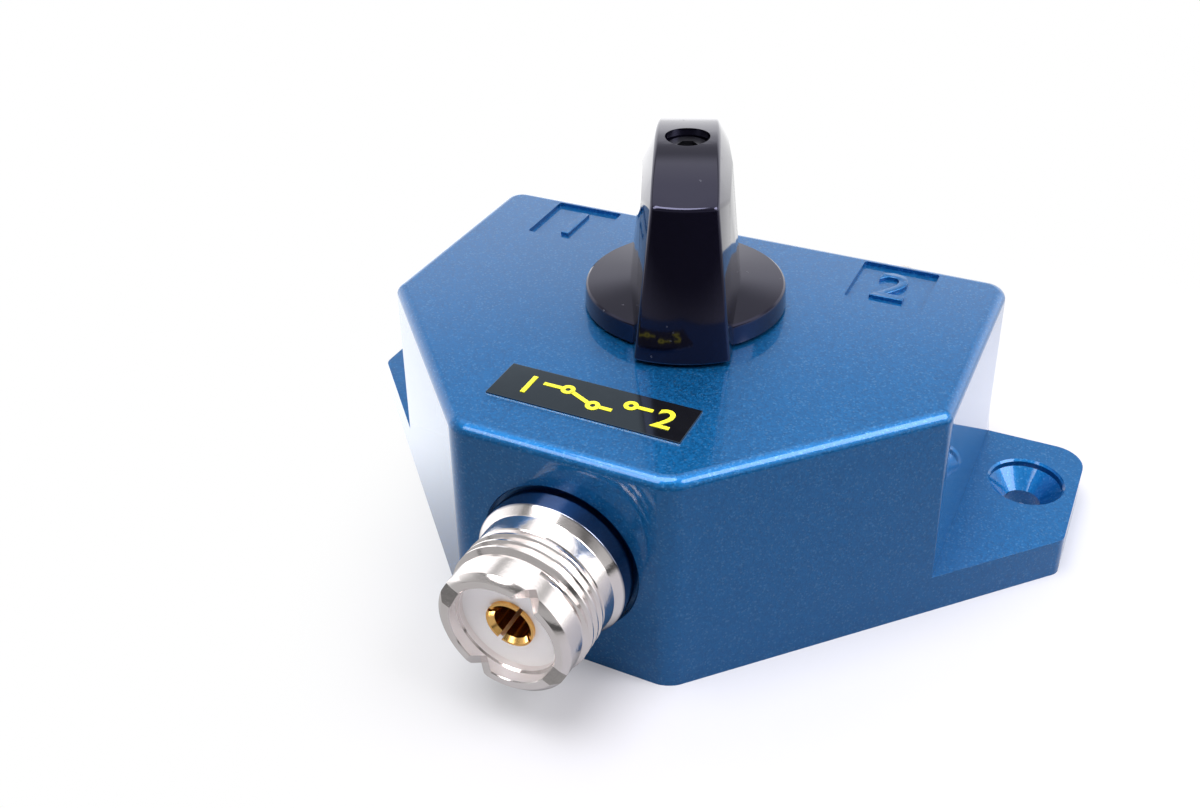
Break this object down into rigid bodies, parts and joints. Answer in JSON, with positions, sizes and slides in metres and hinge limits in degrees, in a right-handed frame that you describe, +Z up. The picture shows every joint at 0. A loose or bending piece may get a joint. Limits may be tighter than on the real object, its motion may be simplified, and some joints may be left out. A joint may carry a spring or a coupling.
{
  "type": "coaxial antenna switch",
  "caption": "Die-cast coaxial switch box with fixing ears, threaded sockets front and back, and a bar knob that turns a contact rotor between two positions.",
  "frame": {"origin": "on the underside, at the middle of the overall width and depth", "axes": "+Z up, -Y towards the common socket, +X to the right seen from there"},
  "size_m": [0.0948, 0.0784, 0.048],
  "materials": {
    "blue_flake_paint": "blue metal-flake paint under gloss lacquer",
    "cover_metal": "satin sheet",
    "screw_steel": "zinc-plated steel",
    "label_black": "gloss black plate",
    "nickel": "bright nickel plate",
    "insulator": "smooth pale moulding",
    "gold": "thin gilt plate",
    "silver_strip": "silver-plated brass",
    "bronze": "sintered bronze",
    "brass_parts": "stamped brass",
    "knob_black": "polished black moulding",
    "screw_black": "blackened steel"
  },
  "bodies": {
    "case": {"housing": "blue_flake_paint", "bottom_cover": "cover_metal", "cover_screws": "screw_steel", "label_plate": "label_black", "common_socket_shell": "nickel", "socket_shell_1": "nickel", "socket_shell_2": "nickel", "common_insulator": "insulator", "insulator_1": "insulator", "insulator_2": "insulator", "common_contact": "gold", "contact_1": "gold", "contact_2": "gold", "common_bar": "silver_strip", "output_leaf_1": "silver_strip", "output_leaf_2": "silver_strip", "contact_button_1": "silver_strip", "contact_button_2": "silver_strip", "shaft_bush": "bronze", "detent_spring": "screw_steel", "detent_screw": "screw_steel"},
    "rotor": {"switch_shaft": "screw_steel", "lower_clip": "screw_steel", "upper_clip": "screw_steel", "ground_rotor": "brass_parts", "rotor_insulator": "insulator", "rotor_contact": "silver_strip", "rotor_washer": "insulator", "detent_wheel": "screw_steel", "thrust_washer": "bronze", "knob": "knob_black", "knob_screw": "screw_black"}
  },
  "joints": [
    {"name": "knob_turn", "type": "hinge", "parent": "case", "child": "rotor", "pos_m": [0, 0.00686, 0.0273], "axis": [0, 0, 1], "range_deg": [-43, 0], "deforming": ["detent_spring"]}
  ]
}
